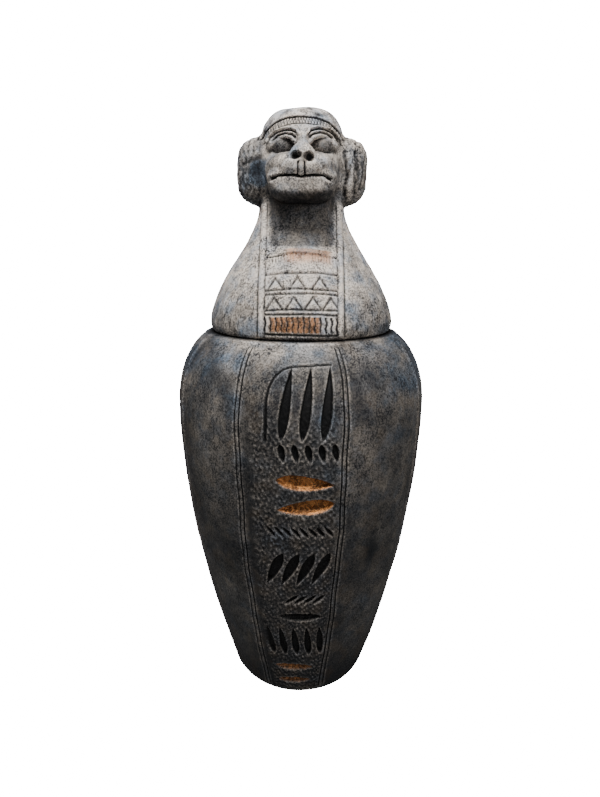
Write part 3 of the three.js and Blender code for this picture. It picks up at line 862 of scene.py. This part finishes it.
@dataclass
class Lid:
    """The lid: cape, bib, mane and the baboon's head, all one casting."""

    seat: float = 249.0
    spigot_radius: float = 40.5
    spigot_depth: float = 8.0
    voxel: float = 1.25
    cape: tuple[tuple[float, float], ...] = (
        (56.6, 249), (58.0, 250.0), (58.9, 251.4), (59.5, 255), (58.6, 261), (55.1, 271), (50.2, 281),
        (43.9, 291), (37.2, 301), (31.2, 311.5), (27.4, 321), (26, 334),
    )
    skull: Mass = Mass((0, -1, 359.6), (25.1, 28.6, 24.5), 2.5)
    crown: float = 383.0
    mane: Mass = Mass((0, 4, 347.8), (41, 24, 22), 4)
    face: Mass = Mass((0, -8, 351.5), (22.2, 22, 18.5), 2.7)
    muzzle: Mass = Mass((0, -25, 345.8), (18.6, 25, 9.4), 2.6, 2.4)
    jaw: Mass = Mass((0, -22, 336.4), (19.8, 25.0, 9.8), 3.2, 4.0, 0.14)
    cheeks: tuple[Mass, ...] = tuple(Mass((s * 12.5, -20.5, 347), (9.5, 14.5, 8.8)) for s in (-1, 1))
    nose: Mass = Mass((0.2, -43, 351.3), (7.2, 8.8, 4.6))
    sockets: tuple[Mass, ...] = tuple(Mass((s * 11.8, -29, 359.0), (9.7, 8.6, 5.9)) for s in (-1, 1))
    eyeballs: tuple[Mass, ...] = tuple(Mass((s * 11.8, -17.6, 359.2), (9.6, 8.2, 6.6)) for s in (-1, 1))
    septum: Mass = Mass((0.2, -28.5, 357.5), (2.7, 9.0, 7.5), 2.2)
    nostrils: tuple[Mass, ...] = (
        Mass((-4.5, -51.5, 350.4), (4.3, 5.2, 2.5)), Mass((4.6, -51.5, 349.7), (3.9, 5.2, 2.8)),
    )
    ear_hollow: Mass = Mass((-30.6, -18.8, 345.0), (9.6, 7.0, 12.0))
    cap_growth: float = 1.1
    band_growth: float = 0.35
    band_tilt: float = 36.0
    band_top: float = -1.3
    band_height: float = 4.6
    bib_half_width: float = 23.4
    bib_span: tuple[float, float] = (250.4, 301.0)
    bib_arch: float = 3.2
    bib_proud: float = 0.9
    bib_lines: tuple[float, ...] = (252.6, 264.5, 267, 276, 278.5, 287.5, 298)
    paint_levels: tuple[tuple[float, ...], tuple[float, ...]] = (
        (249, 255, 262, 275, 300, 318, 330, 345, 360, 368, 376, 386),
        (0.20, 0.21, 0.27, 0.46, 0.82, 0.70, 0.44, 0.42, 0.45, 0.58, 0.78, 0.90),
    )
    eyelids: tuple[Path, ...] = (
        ((-20.9, 353.6), (-20.7, 356.8), (-19.2, 359.6), (-16.6, 362.2), (-12.8, 364.1), (-9.3, 364.4),
         (-6.1, 363.2), (-3.8, 360.5)),
        ((3.9, 360.5), (6.3, 362.9), (10.2, 364.6), (14.3, 364.6), (17.5, 363.1), (20.0, 360.2),
         (21.1, 356.4), (21.2, 353.4)),
    )
    eyelid_radius: float = 1.35
    marks: tuple[Mark, ...] = (
        Mark(((-21.0, 360.6), (-19.3, 364.2), (-15.9, 366.9), (-11.3, 368.1), (-6.1, 368.0), (-2.6, 366.5),
              (-1.8, 364.3)), 1.05, 1.7),
        Mark(((-20.4, 360.2), (-18.5, 363.6), (-15.2, 366.0), (-11.0, 367.1), (-6.5, 367.0), (-3.3, 365.4)),
             0.6, -0.9, 0.9),
        Mark(((-19.8, 359.8), (-17.9, 362.9), (-14.6, 365.1), (-10.6, 366.1), (-6.7, 366.0), (-4.0, 364.6)),
             0.7, 0.5),
        Mark(((-18.2, 361.6), (-14.4, 364.6), (-10.0, 365.4), (-5.6, 364.4), (-3.6, 362.4)), 0.9, -0.8, 0.9),
        Mark(((2.4, 364.2), (4.1, 367.4), (8.6, 368.8), (14.4, 368.4), (17.8, 367.2), (20.6, 365.2),
              (22.4, 362.4)), 1.05, 1.7),
        Mark(((3.3, 364.4), (5.0, 366.6), (9.0, 367.9), (14.3, 367.5), (17.3, 366.3), (19.9, 364.2),
              (21.3, 362.0)), 0.6, -0.9, 0.9),
        Mark(((4.3, 364.6), (6.7, 366.1), (10.8, 367.0), (14.6, 366.5), (17.4, 365.0), (19.8, 362.2)),
             0.7, 0.5),
        Mark(((3.9, 362.6), (6.2, 364.8), (10.4, 366.0), (14.6, 365.6), (18.0, 363.4)), 0.9, -0.8, 0.9),
        Mark(((-2.3, 347.8), (-2.4, 343.5), (-2.5, 339.8)), 0.75, -1.2, 0.6),
        Mark(((1.5, 347.8), (1.5, 343.5), (1.6, 339.8)), 0.75, -1.2, 0.6),
        Mark(((-0.5, 348.4), (-0.5, 343.5), (-0.5, 340)), 0.7, 0.4),
        Mark(((-17.6, 338.9), (-14.2, 340.3), (-8.9, 340.3), (-3.9, 340.0), (-0.6, 339.4), (2.2, 339.8),
              (7.2, 340.3), (12.6, 340.5), (16.6, 338.7)), 0.85, -1.7, 1.0),
        Mark(((-18.2, 338.6), (-14.6, 339.9)), 1.6, -2.0, 1.0),
        Mark(((17.4, 338.3), (14.2, 339.8)), 1.6, -2.0, 1.0),
        Mark(((-7.4, 350.9), (-10.9, 348.9), (-12.6, 345.9), (-13.3, 343.2)), 1.6, -0.8, 0.2),
        Mark(((7.1, 349.8), (10.4, 348.0), (13.1, 343.8)), 1.6, -0.6, 0.15),
    )

    def cape_radius(self, height: Points) -> Points:
        """Radius of the cape at each height, with the corners of its profile eased."""
        radii, heights = np.array(self.cape).T
        steps = np.linspace(-2.4, 2.4, 9)
        easing = ease(251, 256, height)
        total = sum(np.interp(height + step * easing, heights, radii) for step in steps)
        return total / len(steps)

    def clay(self, points: Points) -> Points:
        """Roughly signed distances from the whole modelled lid, before its fine carving.

        Args:
            points: Places, one row each.

        Returns:
            Distances in millimetres.
        """
        x, y, z = points.T
        form = (np.hypot(x, y) - self.cape_radius(z)) * 0.9
        shield = np.hypot(x, y) - self.cape_radius(z) - self.bib_proud * self.bib_share(x, y, z)
        form = np.where(self.bib_share(x, y, z) > 0, shield * 0.9, form)
        for side in (-1, 1):
            form = cut_soft(form, self.channel(points, side), 2.5)
        form = np.where(z > 345, np.maximum(form, z - 352), form)
        mane = cut_soft(self.mane.distance(points), self.ear_hollow.distance(points), 2.0)
        form = join_soft(form, mane, 3.5)
        head = cut_soft(self.skull.distance(points), self.crown - z, 4.0)
        head = join_soft(head, self.face.distance(points), 4.0)
        for ball in self.cheeks:
            head = join_soft(head, ball.distance(points), 4.0)
        for hole in self.sockets:
            head = cut_soft(head, hole.distance(points), 1.6)
        head = join_soft(join_soft(head, self.septum.distance(points), 2.0), self.bridge(points), 3.0)
        snout = join_soft(self.muzzle.distance(points), self.jaw.distance(points), 3.0)
        snout = join_soft(snout, self.nose.distance(points), 2.2)
        head = join_soft(head, snout, 4.0)
        for ball in self.eyeballs:
            head = join_soft(head, ball.distance(points), 0.7)
        for path in self.eyelids:
            gap, _ = path_distance(x, z, path)
            head = join_soft(head, np.hypot(gap, y + 28.6 - 0.031 * x * x) - self.eyelid_radius, 0.8)
        form = join_soft(form, head, 2.2)
        for hole in self.nostrils:
            form = cut_soft(form, hole.distance(points), 0.7)
        return form

    def bridge(self, points: Points) -> Points:
        """Distances from the tapering bridge of the nose."""
        start, end = np.array([0.2, -26.0, 367.0]), np.array([0.3, -43.5, 353.0])
        way = end - start
        share = np.clip((points - start) @ way / (way @ way), 0, 1)
        gap = points - start - share[:, None] * way
        return np.linalg.norm(gap, axis=1) - (2.0 + 3.4 * share ** 1.8)

    def channel(self, points: Points, side: int) -> Points:
        """Distances from the channel between the throat and one lappet."""
        start, end = np.array([side * 23.5, -14.0, 334.0]), np.array([side * 16.8, -36.0, 300.5])
        way = end - start
        share = np.clip((points - start) @ way / (way @ way), 0, 1)
        return np.linalg.norm(points - start - share[:, None] * way, axis=1) - (4.3 - 1.3 * share)

    def bib_share(self, x: Points, y: Points, z: Points) -> Points:
        """1 on the bib and 0 off it, fading over its edge."""
        across = np.abs(x) / self.bib_half_width
        low, high = self.bib_span
        level = z + self.bib_arch * across ** 2 * (z - low) / (high - low)
        top = 1 - ease(self.bib_span[1] - 0.5, self.bib_span[1] + 0.9, level)
        return np.where(y < 0, top * (1 - ease(0.97, 1.03, across)) * ease(250.2, 251.2, z), 0.0)

    def band_level(self, points: Points) -> Points:
        """Height above the skull's middle along the tilted axis of the cap."""
        tilt = math.radians(self.band_tilt)
        off = points - self.skull.middle
        return off[:, 1] * math.sin(tilt) + off[:, 2] * math.cos(tilt)

    def model(self) -> bpy.types.Mesh:
        """Presses the rough masses together into one skin.

        Returns:
            An even closed mesh, still without its fine forms.
        """
        foot = self.seat - self.spigot_depth
        skin = turned([
            (0, foot), (self.spigot_radius - 1, foot), (self.spigot_radius, foot + 1),
            (self.spigot_radius, self.seat), *self.cape, (0, 350),
        ], 96)
        features = (self.face, self.muzzle, self.jaw, *self.cheeks, self.nose, self.septum)
        for mass in (self.skull, self.mane, *features):
            mass.add_to(skin)
        bmesh.ops.recalc_face_normals(skin, faces=skin.faces)
        rough = bpy.data.meshes.new("lid_rough")
        skin.to_mesh(rough)
        skin.free()
        holder = bpy.data.objects.new("lid_rough", rough)
        bpy.context.scene.collection.objects.link(holder)
        press = holder.modifiers.new("press", "REMESH")
        press.mode = "VOXEL"
        press.voxel_size = self.voxel
        press.adaptivity = 0.0
        depsgraph = bpy.context.evaluated_depsgraph_get()
        mesh = bpy.data.meshes.new_from_object(holder.evaluated_get(depsgraph))
        bpy.data.objects.remove(holder)
        bpy.data.meshes.remove(rough)
        return mesh

    def pull(self, sheet: Sheet, times: int) -> None:
        """Draws the skin onto the clay form, leaving the seat and the spigot as they are."""
        free = 1 - (np.hypot(*sheet.points[:, :2].T) < 54) * (sheet.points[:, 2] < 250.6)
        free = free * ease(249.2, 250.2, sheet.points[:, 2])
        for turn in range(times):
            step = np.clip(self.clay(sheet.points), -1.2, 1.2) * 0.85
            sheet.points -= sheet.normals() * (step * free)[:, None]
            if turn % 3 == 1 and turn < times - 2:
                eased = sheet.averaged(sheet.points, 1)
                sheet.points += (eased - sheet.points) * free[:, None]

    def refine(self, mesh: bpy.types.Mesh) -> None:
        """Divides the front, where the carving is, once more."""
        skin = bmesh.new()
        skin.from_mesh(mesh)
        front = [
            edge for edge in skin.edges
            if all(v.co.y < -7 and abs(v.co.x) < 26.5 and v.co.z > 250.6 for v in edge.verts)
        ]
        bmesh.ops.subdivide_edges(skin, edges=front, cuts=1, use_grid_fill=True)
        eyes = [
            edge for edge in skin.edges
            if all(v.co.y < -9 and abs(v.co.x) < 22.5 and 354.5 < v.co.z < 376 for v in edge.verts)
        ]
        bmesh.ops.subdivide_edges(skin, edges=eyes, cuts=1, use_grid_fill=True)
        skin.to_mesh(mesh)
        skin.free()
        mesh.update()

    def carving(self, points: Points, normals: Points) -> dict[str, Points]:
        """Works out the fine carving over the clay form.

        Args:
            points: Vertex positions.
            normals: Vertex normals.

        Returns:
            Rise in millimetres, black of painted shade in the cuts, gilding, light of the ridges, and where
            the headband and the cap are.
        """
        x, y, z = points.T
        rise = np.zeros(len(points))
        black = np.zeros(len(points))
        gilt = np.zeros(len(points))
        light = np.zeros(len(points))
        front = ease(-4, -10, y) * ease(0.05, -0.25, normals[:, 1])
        # Black in the cut marks, the band's grooves and its notches is painted shade.
        for mark in self.marks:
            gap, along = path_distance(x, z, mark.path)
            body = np.clip(1 - (gap / mark.width) ** 2, 0, 1) ** 1.3
            fade = ease(-0.01, mark.ends, along) * ease(1.01, 1 - mark.ends, along)
            share = body * front * (0.25 + 0.75 * fade)
            rise += share * mark.rise
            black = np.maximum(black, share * mark.black)
            light = np.maximum(light, share * (mark.rise > 0))
        for path in self.eyelids:
            light = np.maximum(light, ease(1.8, 0.6, path_distance(x, z, path)[0]) * front)
        on_head = ease(2.2, 1.0, np.abs(self.skull.distance(points)))
        level = self.band_level(points)
        above = ease(self.band_top, self.band_top + 0.7, level)
        foot = self.band_top - self.band_height
        on_band = ease(foot - 0.5, foot + 0.2, level) * (1 - above)
        rise += on_head * (above * self.cap_growth + on_band * self.band_growth)
        groove = np.clip(1 - ((level - self.band_top) / 0.7) ** 2, 0, 1) * on_head
        under = np.clip(1 - ((level - self.band_top + self.band_height) / 0.5) ** 2, 0, 1) * on_head
        rise -= groove * 0.8 + under * 0.4
        black = np.maximum(black, np.maximum(groove, 0.7 * under))
        turn = np.degrees(np.arctan2(x, -(y + 1) * 0.9))
        tooth = np.abs((turn / 4.4 + 0.5) % 1.0 - 0.5) * 2
        middle = self.band_top - self.band_height / 2
        zig = np.abs((level - middle) / (self.band_height / 2 - 0.7) - (tooth * 2 - 1))
        notch = np.clip(1 - (zig / 0.75) ** 2, 0, 1) * on_band * on_head * ease(62, 54, np.abs(turn))
        rise -= 0.6 * notch
        black = np.maximum(black, 0.85 * notch)
        self.carve_bib(points, rise, black, gilt, light)
        self.carve_mane(points, rise, black, light)
        return {"rise": rise, "black": black, "gilt": gilt, "light": light, "band": on_band * on_head,
                "cap": above * on_head}

    def carve_bib(
        self, points: Points, rise: Points, black: Points, gilt: Points, light: Points,
    ) -> None:
        """Adds the bib's lines, triangles and ribs, and the lappets' edges, to the carving."""
        x, y, z = points.T
        share = self.bib_share(x, y, z)
        across = x / self.bib_half_width
        span = self.bib_span[1] - self.bib_span[0]
        level = z + self.bib_arch * across ** 2 * (z - self.bib_span[0]) / span
        level = level + 0.022 * x * ease(268, 255, z)
        # Black in the bib's lines, triangles, rib gaps and beside the lappets' edges is painted shade.
        for line in self.bib_lines:
            cut = np.clip(1 - ((level - line - 0.15 * np.sin(x / 5 + line)) / 0.9) ** 2, 0, 1) * share
            cut *= ease(21.6, 20.6, np.abs(x))
            rise -= 0.85 * cut
            np.maximum(black, 0.6 * cut, out=black)
        for low, high, apexes in ((267.8, 274.2, (-15.5, -4, 7, 17.5)), (279, 285.2, (-15, -2, 11))):
            for apex in apexes:
                path = ((apex - 4.6, low), (apex - 0.3, high), (apex + 4.4, low))
                gap, _ = path_distance(x, level, path)
                cut = np.clip(1 - (gap / 0.95) ** 2, 0, 1) * share * ease(21.6, 20.6, np.abs(x))
                rise -= 0.85 * cut
                np.maximum(black, 0.6 * cut, out=black)
        pitch = 2 * 20.9 / 13
        rib = 0.5 + 0.5 * np.cos(2 * np.pi * (x - 20.9 - 0.3 * np.sin(z)) / pitch)
        in_ribs = ease(253.6, 254.4, level) * ease(263.4, 262.6, level) * share * (np.abs(x) < 22.4)
        rise -= 0.85 * rib ** 1.4 * in_ribs
        np.maximum(black, ease(0.70, 1.0, rib) * in_ribs, out=black)
        np.maximum(light, 1.5 * in_ribs * ease(0.8, 0.3, rib), out=light)
        gilt += 0.88 * in_ribs * ease(0.95, 0.5, rib) * ease(-20, -16, x) * ease(13, 9, x)
        fringe = ease(0.55, 0.25, np.abs((x / 1.7 + 0.5) % 1.0 - 0.5) * 2) * ease(292.5, 295, level) * share
        rise -= 0.45 * fringe * ease(299, 298, level)
        np.maximum(black, 0.35 * fringe * ease(299, 298, level), out=black)
        in_fringe = ease(290.5, 296, level) * ease(301.5, 300.6, level) * ease(-14, -6, x) * ease(20, 15, x)
        gilt += 0.62 * share * in_fringe
        side = np.abs(x) - self.bib_half_width
        on_cape = ease(329, 325, z) * ease(250, 252, z) * (y < -10)
        half = 1.5 + 0.5 * ease(290, 325, z) * (x > 0)
        ridge = np.clip(1 - (side / half) ** 2, 0, 1) ** 0.7 * on_cape
        within = np.clip(1 - ((side + 2.2) / 0.7) ** 2, 0, 1)
        beside = np.maximum(within, np.clip(1 - ((side - 2.1) / 0.6) ** 2, 0, 1))
        rise += 1.2 * ridge - 0.5 * beside * on_cape
        np.maximum(black, 0.5 * beside * on_cape, out=black)
        np.maximum(light, 0.9 * ridge, out=light)

    def carve_mane(self, points: Points, rise: Points, black: Points, light: Points) -> None:
        """Adds the furrows and ridge of the mane's right lobe and the crease over the ear on the left."""
        x, y, z = points.T
        front = ease(-2, -8, y)
        # The faint black in the furrows is painted shade.
        for path, width, cut in (
            (((26.6, 333), (27.4, 345), (26.0, 357)), 1.6, 0.9),
            (((33.2, 331), (34.2, 345), (33.0, 358)), 1.8, 0.7),
            (((37.0, 337), (37.6, 345), (36.8, 352)), 1.3, 0.5),
            (((-36.4, 351.2), (-30, 353.2), (-24.5, 354.2)), 1.8, 0.5),
        ):
            gap, _ = path_distance(x + 0.5 * np.sin(z / 3.1), z, path)
            share = np.clip(1 - (gap / width) ** 2, 0, 1) * front
            rise -= cut * share
            np.maximum(black, 0.12 * share, out=black)
        gap, _ = path_distance(x + 0.5 * np.sin(z / 3.1), z, ((29.6, 331), (30.4, 345), (29.6, 357)))
        share = np.clip(1 - (gap / 1.5) ** 2, 0, 1) * front
        rise += 0.5 * share
        np.maximum(light, 0.7 * share, out=light)
        on_lobe = ease(24, 27, np.abs(x)) * ease(325, 329, z) * ease(370, 366, z)
        on_lobe *= ease(0.5, 3.0, np.abs(self.ear_hollow.distance(points)))
        rough = 0.22 * Unevenness(41, 5).at(points * (1.6, 1, 0.7)) + 0.12 * Unevenness(43, 2.6).at(points)
        rise += on_lobe * rough

    def build(self) -> bpy.types.Mesh:
        """Builds the lid's mesh.

        Returns:
            The closed mesh with its marks.
        """
        mesh = self.model()
        rough = Sheet(mesh)
        self.pull(rough, 12)
        rough.write()
        self.refine(mesh)
        sheet = Sheet(mesh)
        self.pull(sheet, 5)
        normals = sheet.normals()
        carving = self.carving(sheet.points, normals)
        x, y, z = sheet.points.T
        free = ease(250.5, 254, z)
        wave = (0.16 * Unevenness(21, 26).at(sheet.points) + 0.09 * Unevenness(24, 9).at(sheet.points)
                + 0.04 * Unevenness(27, 4).at(sheet.points))
        sheet.points += normals * (carving["rise"] + wave * free)[:, None]
        reach = np.hypot(x, y)
        on_seat = (np.abs(z - self.seat) < 0.8) & (reach < 55) & (reach > self.spigot_radius + 0.6)
        sheet.points[on_seat, 2] = self.seat
        self.store_marks(sheet, carving)
        return mesh

    def store_marks(self, sheet: Sheet, carving: dict[str, Points]) -> None:
        """Stores how the dust with its painted light and shade, the black of painted shade, gilding and the
        cooler tint lie on the lid.
        """
        fine = sheet.hollowness(5)
        broad = sheet.hollowness(28)
        x, y, z = sheet.points.T
        normals = sheet.normals()
        radius = np.hypot(x, y)
        edge = np.clip(-fine * 5 - broad * 0.7, 0, 1)
        eye = np.zeros(len(x))
        for ball in self.eyeballs:
            eye = np.maximum(eye, ease(1.2, 0.5, np.abs(ball.distance(sheet.points))) * (y < -20))
        # Painted shade in fine and broad hollows, kept lighter on the eyeballs.
        painted_shade = np.maximum(fine * 3, broad * 0.55) * (1 - 0.5 * eye)
        painted_shade = np.clip(np.maximum(carving["black"], painted_shade), 0, 1)
        # Painted shadow along the gap under the lid's edge.
        seam_shadow = ease(249.9, 249.2, z)
        # Painted shadow under the chin and jaw, where the surface faces down.
        under = ease(-0.15, -0.85, normals[:, 2]) * ease(324, 328, z) * ease(343, 336, z)
        under = under * ease(23, 20, np.abs(x))
        painted_shade = np.maximum(painted_shade * (1 - carving["gilt"]), np.maximum(seam_shadow, 0.55 * under))
        dust_and_painted_light = np.interp(z, *self.paint_levels)
        on_bib = self.bib_share(x, y, z)
        dust_and_painted_light = dust_and_painted_light * (1 + 0.18 * on_bib * ease(262, 268, z))
        lobes = ease(23, 26, np.abs(x)) * ease(324, 330, z) * ease(368, 364, z)
        dust_and_painted_light = dust_and_painted_light * (1 - lobes * np.where(x < 0, 0.70, 0.46))
        # Painted shade on the throat between the lappets.
        throat = ease(22, 18, np.abs(x)) * (y < -10) * ease(301, 303, z) * ease(334, 330, z)
        dust_and_painted_light = dust_and_painted_light * (1 - 0.70 * throat) * (1 - 0.5 * throat * ease(318, 330, z))
        # Less dust on the eyeballs, and painted shade in the hollows and under the chin.
        dust_and_painted_light = dust_and_painted_light * (1 - 0.72 * eye) * (1 - 0.75 * painted_shade) * (1 - 0.9 * under)
        mottled = 0.5 * carving["cap"] * Unevenness(51, 8).at(sheet.points)
        dust_and_painted_light = dust_and_painted_light * (1 - 0.4 * carving["band"]) * (1 + mottled)
        patches = 0.16 * Unevenness(31, 40).at(sheet.points) + 0.14 * Unevenness(33, 15).at(sheet.points)
        dust_and_painted_light = dust_and_painted_light * (1 + patches) + 0.30 * edge + 0.30 * carving["light"]
        hollow = ease(2.5, 0.0, np.abs(self.ear_hollow.distance(sheet.points)))
        cool = 0.9 * hollow + 0.25 * ease(300, 250, z) * np.abs(x) / 60 + 0.2 * ease(365, 375, z)
        cool = np.clip(cool + 0.3 * lobes * (x < 0) + 0.25 * Unevenness(35, 18).at(sheet.points), 0, 1)
        dust_and_painted_light = dust_and_painted_light * (1 - 0.35 * hollow)
        dust_and_painted_light = np.where((z < 250) & (radius < 54), 0.1, dust_and_painted_light)
        sheet.mark("dust_and_painted_light", dust_and_painted_light)
        sheet.mark("painted_shade", painted_shade)
        sheet.mark("gilt", np.clip(carving["gilt"], 0, 1))
        sheet.mark("cool", cool)
        sheet.write()

    def dress(self, finish: bpy.types.Material) -> bpy.types.Object:
        """Builds the lid and gives it its finish."""
        return hand_over(self.build(), "painted_lid", Part.LID, finish)


@dataclass
class Studio:
    """Pale floor and backdrop, soft lights and the camera."""

    floor_tone: float = 0.15
    glow: float = 25.0
    sky: float = 0.22
    eye: tuple[float, float, float] = (0.0, -0.400, 0.300)
    pitch: float = 13.9
    roll: float = -0.33
    yaw: float = 0.14
    focal: float = 27.1

    def floor(self) -> None:
        """Lays the floor, which curves up into a backdrop."""
        skin = bmesh.new()
        bend = [(1.4 + 0.9 * math.sin(t), 0.9 - 0.9 * math.cos(t)) for t in np.linspace(0, math.pi / 2, 13)]
        rows = [skin.verts.new((-2.6, y, z)) for y, z in [(-2.2, 0.0), *bend, (2.3, 3.0)]]
        lines = [skin.edges.new(pair) for pair in zip(rows, rows[1:])]
        drawn = bmesh.ops.extrude_edge_only(skin, edges=lines)["geom"]
        bmesh.ops.translate(
            skin, verts=[item for item in drawn if isinstance(item, bmesh.types.BMVert)], vec=(5.2, 0, 0),
        )
        bmesh.ops.recalc_face_normals(skin, faces=skin.faces)
        mesh = bpy.data.meshes.new("studio_floor")
        skin.to_mesh(mesh)
        skin.free()
        mesh.shade_smooth()
        pale = bpy.data.materials.new("pale_floor")
        pale.use_nodes = True
        tree = Recipe(pale.node_tree)
        tree.shader.inputs["Base Color"].default_value = (self.floor_tone,) * 3 + (1,)
        tree.shader.inputs["Roughness"].default_value = 0.9
        tree.shader.inputs["Emission Color"].default_value = (1, 1, 1, 1)
        seen = tree.add("ShaderNodeLightPath").outputs["Is Camera Ray"]
        tree.link(tree.times(seen, self.glow), tree.shader.inputs["Emission Strength"])
        mesh.materials.append(pale)
        floor = bpy.data.objects.new("studio_floor", mesh)
        bpy.context.scene.collection.objects.link(floor)

    def world(self) -> None:
        """Fills the studio with even, slightly cool light under a white surround."""
        world = bpy.data.worlds.new("studio_surround")
        bpy.context.scene.world = world
        world.use_nodes = True
        nodes, links = world.node_tree.nodes, world.node_tree.links
        ground = nodes["Background"]
        ground.inputs["Color"].default_value = (0.93, 0.96, 1.0, 1)
        seen = nodes.new("ShaderNodeLightPath")
        strength = nodes.new("ShaderNodeMath")
        strength.operation = "MULTIPLY_ADD"
        links.new(seen.outputs["Is Camera Ray"], strength.inputs[0])
        strength.inputs[1].default_value = self.glow
        strength.inputs[2].default_value = self.sky
        links.new(strength.outputs[0], ground.inputs["Strength"])

    def lamp(
        self, name: str, place: tuple[float, float, float], aim: tuple[float, float, float], size: float,
        power: float, tint: tuple[float, float, float],
    ) -> None:
        """Hangs a soft square lamp.

        Args:
            name: The lamp's name.
            place: Where it hangs.
            aim: The point that it faces.
            size: Its side in metres.
            power: Its power in watts.
            tint: Its colour.
        """
        data = bpy.data.lights.new(name, "AREA")
        data.shape = "SQUARE"
        data.size = size
        data.energy = power
        data.color = tint
        lamp = bpy.data.objects.new(name, data)
        lamp.location = place
        lamp.rotation_euler = (Vector(aim) - Vector(place)).to_track_quat("-Z", "Y").to_euler()
        bpy.context.scene.collection.objects.link(lamp)

    def lamps(self) -> None:
        """Hangs the lamp overhead and a weak one at the front."""
        self.lamp("overhead", (-0.10, -0.42, 1.25), (0, 0, 0.28), 0.55, 21.0, (1.0, 0.985, 0.96))
        self.lamp("front_fill", (0.75, -0.9, 0.55), (0, 0, 0.2), 0.7, 3.0, (1.0, 0.97, 0.94))

    def camera(self) -> None:
        """Sets the camera at the photograph's viewing angle."""
        data = bpy.data.cameras.new("view")
        data.lens = self.focal
        data.sensor_width = 36.0
        data.sensor_fit = "AUTO"
        data.clip_start = 0.01
        camera = bpy.data.objects.new("view", data)
        camera.location = self.eye
        turns = (90 - self.pitch, self.roll, self.yaw)
        camera.rotation_euler = tuple(math.radians(turn) for turn in turns)
        bpy.context.scene.collection.objects.link(camera)
        bpy.context.scene.camera = camera

    def build(self) -> None:
        """Sets up the whole studio."""
        self.camera()
        self.floor()
        self.world()
        self.lamps()


def main() -> None:
    """Builds the studio, the jar and the lid."""
    logging.basicConfig(level=logging.INFO, format="%(name)s: %(message)s")
    Studio().build()
    jar = Jar().dress(PaintedStone("painted_stone_jar").build())
    lid = Lid().dress(PaintedStone("painted_stone_lid").build())
    LOG.info("made %s and %s", jar.name, lid.name)


if __name__ == "__main__":
    main()
